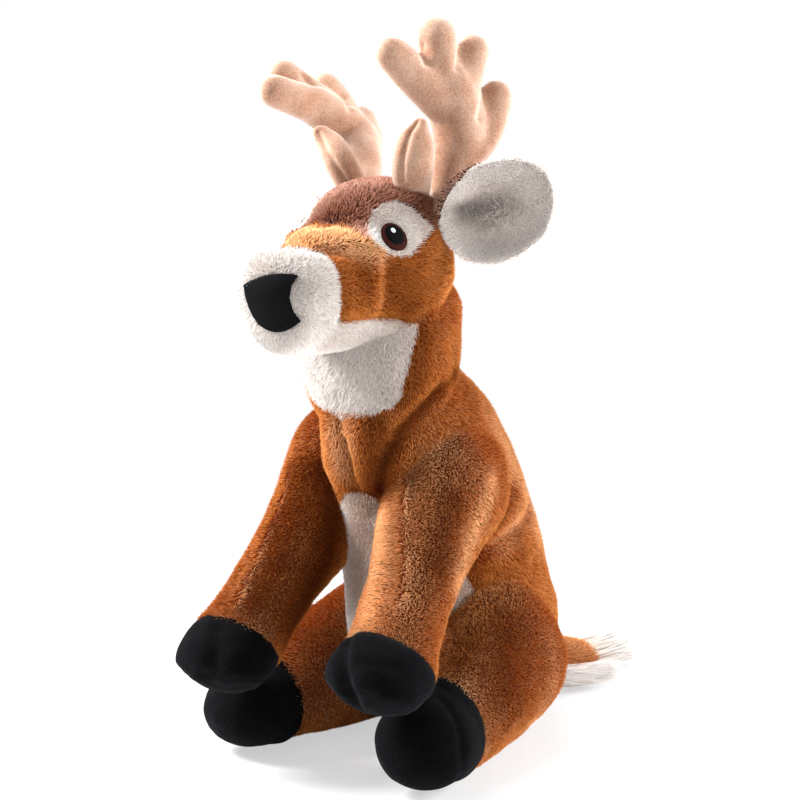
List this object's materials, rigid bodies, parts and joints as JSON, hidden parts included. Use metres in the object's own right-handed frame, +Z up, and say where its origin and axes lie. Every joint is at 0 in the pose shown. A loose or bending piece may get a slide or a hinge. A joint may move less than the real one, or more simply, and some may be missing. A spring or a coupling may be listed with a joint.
{
  "type": "plush deer",
  "caption": "Seated plush deer with soft antlers: sewn plush skins over fibre filling, with a head, ears, antlers, legs and tail that bend at their seams.",
  "frame": {"origin": "middle of the flat seat under the rump, on the floor", "axes": "+Z up, the deer faces -Y, its left side is +X"},
  "size_m": [0.1809, 0.3023, 0.4048],
  "materials": {
    "polyester_filling": "loose white polyester fibre",
    "embroidery_iris": "dark brown satin stitch",
    "embroidery_pupil": "black satin stitch",
    "embroidery_glint": "white satin stitch",
    "embroidery_nose": "black twill embroidery",
    "plush_hoof": "short black minky plush",
    "velboa_antler": "very short beige velboa plush",
    "plush_white": "white plush, about 6 mm pile",
    "plush_ear_lining": "white-grey plush, about 5 mm pile",
    "plush_crown": "dark brown plush, about 4 mm pile",
    "plush_brown": "orange-brown plush, about 5 mm pile with lighter tips"
  },
  "bodies": {
    "torso": {"torso_skin": "plush_brown", "belly_panel": "plush_white", "torso_filling": "polyester_filling"},
    "neck": {"neck_skin": "plush_brown", "throat_panel": "plush_white", "neck_filling": "polyester_filling"},
    "head": {"head_filling": "polyester_filling", "muzzle_panel": "plush_white", "nose": "embroidery_nose", "face_panel": "plush_brown", "crown_panel": "plush_crown", "eye_patch_left": "plush_white", "eye_iris_left": "embroidery_iris", "eye_pupil_left": "embroidery_pupil", "eye_glint_left": "embroidery_glint", "eye_patch_right": "plush_white", "eye_iris_right": "embroidery_iris", "eye_pupil_right": "embroidery_pupil", "eye_glint_right": "embroidery_glint"},
    "tail": {"tail_top": "plush_brown", "tail_underside": "plush_white"},
    "front_leg_left": {"front_leg_left": "plush_brown", "front_hoof_left": "plush_hoof", "front_leg_filling_left": "polyester_filling"},
    "hind_leg_left": {"hind_leg_left": "plush_brown", "hind_hoof_left": "plush_hoof", "hind_leg_filling_left": "polyester_filling"},
    "ear_left": {"ear_back_left": "plush_crown", "ear_lining_left": "plush_ear_lining"},
    "antler_left": {"antler_left": "velboa_antler", "antler_brow_tine_left": "velboa_antler"},
    "front_leg_right": {"front_leg_right": "plush_brown", "front_hoof_right": "plush_hoof", "front_leg_filling_right": "polyester_filling"},
    "hind_leg_right": {"hind_leg_right": "plush_brown", "hind_hoof_right": "plush_hoof", "hind_leg_filling_right": "polyester_filling"},
    "ear_right": {"ear_back_right": "plush_crown", "ear_lining_right": "plush_ear_lining"},
    "antler_right": {"antler_right": "velboa_antler", "antler_brow_tine_right": "velboa_antler"}
  },
  "joints": [
    {"name": "neck_turn", "type": "hinge", "parent": "torso", "child": "neck", "pos_m": [0, -0.073, 0.197], "axis": [0, -0.1155, 0.9933], "range_deg": [-20, 20], "stiffness_Nm_per_rad": 1.2},
    {"name": "head_nod", "type": "hinge", "parent": "neck", "child": "head", "pos_m": [0, -0.078, 0.24], "axis": [1, 0, 0], "range_deg": [-9, 9], "stiffness_Nm_per_rad": 3},
    {"name": "tail_lift", "type": "hinge", "parent": "torso", "child": "tail", "pos_m": [0, 0.044, 0.028], "axis": [1, 0, 0], "range_deg": [0, 25], "stiffness_Nm_per_rad": 0.15},
    {"name": "front_leg_swing_left", "type": "hinge", "parent": "torso", "child": "front_leg_left", "pos_m": [0.027, -0.056, 0.151], "axis": [-1, 0, 0], "range_deg": [0, 30], "stiffness_Nm_per_rad": 0.5},
    {"name": "hind_leg_splay_left", "type": "hinge", "parent": "torso", "child": "hind_leg_left", "pos_m": [0.044, -0.027, 0.0485], "axis": [0, 0, 1], "range_deg": [0, 20], "stiffness_Nm_per_rad": 0.6},
    {"name": "ear_fold_left", "type": "hinge", "parent": "head", "child": "ear_left", "pos_m": [0.034, -0.075, 0.3], "axis": [0, 0, 1], "range_deg": [-12, 12], "stiffness_Nm_per_rad": 0.1},
    {"name": "antler_lean_left", "type": "hinge", "parent": "head", "child": "antler_left", "pos_m": [0.024, -0.066, 0.311], "axis": [0, 1, 0], "range_deg": [-7, 7], "stiffness_Nm_per_rad": 0.4},
    {"name": "front_leg_swing_right", "type": "hinge", "parent": "torso", "child": "front_leg_right", "pos_m": [-0.041, -0.056, 0.151], "axis": [-1, 0, 0], "range_deg": [0, 30], "stiffness_Nm_per_rad": 0.5},
    {"name": "hind_leg_splay_right", "type": "hinge", "parent": "torso", "child": "hind_leg_right", "pos_m": [-0.044, -0.027, 0.0485], "axis": [0, 0, -1], "range_deg": [0, 20], "stiffness_Nm_per_rad": 0.6},
    {"name": "ear_fold_right", "type": "hinge", "parent": "head", "child": "ear_right", "pos_m": [-0.034, -0.075, 0.286], "axis": [0, 0, -1], "range_deg": [-12, 12], "stiffness_Nm_per_rad": 0.1},
    {"name": "antler_lean_right", "type": "hinge", "parent": "head", "child": "antler_right", "pos_m": [-0.024, -0.066, 0.311], "axis": [0, -1, 0], "range_deg": [-7, 7], "stiffness_Nm_per_rad": 0.4}
  ]
}
